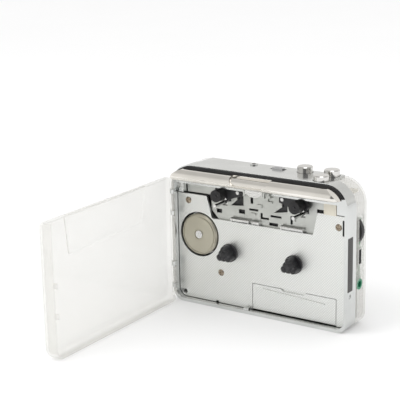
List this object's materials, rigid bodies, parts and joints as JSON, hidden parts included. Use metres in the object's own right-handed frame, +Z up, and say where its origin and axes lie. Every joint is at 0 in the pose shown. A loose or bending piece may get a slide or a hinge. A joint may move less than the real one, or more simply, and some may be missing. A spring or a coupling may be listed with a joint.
{
  "type": "cassette player",
  "caption": "Portable cassette player with a hinged clear door, exposed silver deck with two reel drives, polished top bar, push keys and a clear back; plays compact cassettes",
  "frame": {"origin": "on the bottom face of the frame, below the middle of the housing", "axes": "X to the right, Y from the front to the back, Z up"},
  "size_m": [0.1208, 0.1385, 0.0865],
  "materials": {
    "frame_chrome": "bright plated plastic, satin on the top panel",
    "roll_chrome": "polished plating",
    "button_chrome": "polished plating",
    "hatched_silver": "silver with a fine diagonal hatch",
    "clear_plastic": "clear moulding with a faint warm tint",
    "black_plastic": "black moulding",
    "motor_shell": "satin tan-grey",
    "grey_plate": "stamped plate",
    "steel": "bright steel",
    "deck_screw_metal": "dark yellowish plating",
    "grip_rubber": "ribbed",
    "roller_rubber": "smooth rubber",
    "dark_plastic": "dark grey moulding",
    "knob_metal": "satin",
    "lamp_lens": "dark lens",
    "cream_plastic": "cream moulding",
    "brass_parts": "turned brass",
    "flywheel_zinc": "turned metal",
    "board_green": "solder mask",
    "jack_green": "green moulding"
  },
  "bodies": {
    "housing": {"arm_pivots": "steel", "battery_contact": "steel", "battery_spring": "steel", "battery_tray": "dark_plastic", "bezel_gasket": "roller_rubber", "board_capacitors": "dark_plastic", "board_chips": "dark_plastic", "board_screws": "steel", "button_guide": "cream_plastic", "capstan_bearings": "steel", "deck_plate": "hatched_silver", "deck_screws": "deck_screw_metal", "direction_switch_body": "dark_plastic", "drive_belt": "roller_rubber", "front_frame": "frame_chrome", "guide_rods": "steel", "headphone_jack": "jack_green", "hinge_pins": "steel", "idler_pins": "steel", "indicator_bezel": "frame_chrome", "indicator_led": "lamp_lens", "main_board": "board_green", "mech_chassis": "black_plastic", "motor_can": "motor_shell", "play_spring": "steel", "rear_shell": "clear_plastic", "shell_screws": "steel", "side_grip": "grip_rubber", "stop_spring": "steel", "top_bezel": "roll_chrome", "usb_socket": "steel", "usb_tongue": "dark_plastic", "volume_potentiometer": "dark_plastic", "wind_spring": "steel"},
    "door": {"cassette_door": "clear_plastic"},
    "battery_flap": {"battery_cover": "hatched_silver"},
    "play_key": {"play_button": "button_chrome"},
    "stop_key": {"stop_button": "button_chrome"},
    "wind_key": {"wind_button": "button_chrome"},
    "carriage": {"head_carriage": "grey_plate", "playback_head": "steel", "tape_guides": "grey_plate"},
    "direction_slider": {"direction_knob": "knob_metal"},
    "volume": {"volume_wheel": "dark_plastic"},
    "reel_left": {"left_spindle": "black_plastic", "left_reel_gear": "cream_plastic"},
    "reel_right": {"right_spindle": "black_plastic", "right_reel_gear": "cream_plastic"},
    "motor_drive": {"motor_pulley": "brass_parts", "motor_shaft": "steel"},
    "capstan_drive_left": {"flywheel_left": "flywheel_zinc", "capstan_left": "steel"},
    "capstan_drive_right": {"flywheel_right": "flywheel_zinc", "capstan_right": "steel"},
    "idler_left": {"idler_gear_left": "cream_plastic"},
    "idler_right": {"idler_gear_right": "cream_plastic"},
    "arm_left": {"pinch_arm_left": "black_plastic"},
    "arm_right": {"pinch_arm_right": "black_plastic"},
    "roller_left": {"pinch_roller_left": "roller_rubber"},
    "roller_right": {"pinch_roller_right": "roller_rubber"}
  },
  "joints": [
    {"name": "door_hinge", "type": "hinge", "parent": "housing", "child": "door", "pos_m": [-0.0557, -0.0096, 0.038], "axis": [0, 0, -1], "range_deg": [-88, 2]},
    {"name": "battery_cover_hinge", "type": "hinge", "parent": "housing", "child": "battery_flap", "pos_m": [0.022, -0.00375, 0.0032], "axis": [1, 0, 0], "range_deg": [0, 90]},
    {"name": "stop_press", "type": "slide", "parent": "housing", "child": "stop_key", "axis": [0, 0, -1], "range_m": [0, 0.0022], "stiffness_N_per_m": 300, "springref_m": -0.001, "deforming": ["stop_spring"]},
    {"name": "wind_press", "type": "slide", "parent": "housing", "child": "wind_key", "axis": [0, 0, -1], "range_m": [0, 0.0022], "stiffness_N_per_m": 300, "springref_m": -0.001, "deforming": ["wind_spring"]},
    {"name": "carriage_slide", "type": "slide", "parent": "housing", "child": "carriage", "axis": [0, 0, -1], "range_m": [0, 0.0022], "stiffness_N_per_m": 300, "springref_m": -0.002},
    {"name": "play_press", "type": "slide", "parent": "housing", "child": "play_key", "axis": [0, 0, -1], "range_m": [0, 0.0022], "stiffness_N_per_m": 300, "springref_m": -0.001, "deforming": ["play_spring"]},
    {"name": "direction_slide", "type": "slide", "parent": "housing", "child": "direction_slider", "axis": [1, 0, 0], "range_m": [-0.001, 0.001]},
    {"name": "volume_turn", "type": "hinge", "parent": "housing", "child": "volume", "pos_m": [0.0501, 0.008, 0.0545], "axis": [0, 1, 0], "range_deg": [-150, 150]},
    {"name": "reel_left_turn", "type": "hinge", "parent": "housing", "child": "reel_left", "pos_m": [-0.01975, -0.008, 0.0336], "axis": [0, 1, 0], "continuous": true},
    {"name": "reel_right_turn", "type": "hinge", "parent": "housing", "child": "reel_right", "pos_m": [0.02275, -0.008, 0.0336], "axis": [0, 1, 0], "continuous": true},
    {"name": "flywheel_right_turn", "type": "hinge", "parent": "housing", "child": "capstan_drive_right", "pos_m": [0.027, 0.007, 0.0625], "axis": [0, 1, 0], "continuous": true},
    {"name": "flywheel_left_turn", "type": "hinge", "parent": "housing", "child": "capstan_drive_left", "pos_m": [-0.024, 0.007, 0.0625], "axis": [0, 1, 0], "continuous": true},
    {"name": "motor_turn", "type": "hinge", "parent": "housing", "child": "motor_drive", "pos_m": [-0.0406, 0.008, 0.0415], "axis": [0, 1, 0], "continuous": true},
    {"name": "idler_left_turn", "type": "hinge", "parent": "housing", "child": "idler_left", "pos_m": [-0.02208, 0.0016, 0.04943], "axis": [0, 1, 0], "continuous": true},
    {"name": "idler_right_turn", "type": "hinge", "parent": "housing", "child": "idler_right", "pos_m": [0.02508, 0.0016, 0.04943], "axis": [0, 1, 0], "continuous": true},
    {"name": "arm_left_swing", "type": "hinge", "parent": "housing", "child": "arm_left", "pos_m": [-0.013, -0.005, 0.07], "axis": [0, -1, 0], "range_deg": [0, 4.6], "stiffness_Nm_per_rad": 0.004, "springref_deg": -11.46},
    {"name": "arm_right_swing", "type": "hinge", "parent": "housing", "child": "arm_right", "pos_m": [0.016, -0.005, 0.07], "axis": [0, 1, 0], "range_deg": [0, 4.6], "stiffness_Nm_per_rad": 0.004, "springref_deg": -11.46},
    {"name": "roller_left_turn", "type": "hinge", "parent": "arm_left", "child": "roller_left", "pos_m": [-0.024, -0.009, 0.068], "axis": [0, 1, 0], "continuous": true},
    {"name": "roller_right_turn", "type": "hinge", "parent": "arm_right", "child": "roller_right", "pos_m": [0.027, -0.009, 0.068], "axis": [0, 1, 0], "continuous": true}
  ],
  "couplings": [
    {"joint": "play_press", "follows": "carriage_slide", "ratio": 1},
    {"joint": "flywheel_left_turn", "follows": "flywheel_right_turn", "ratio": -1},
    {"joint": "motor_turn", "follows": "flywheel_right_turn", "ratio": 1.89}
  ]
}
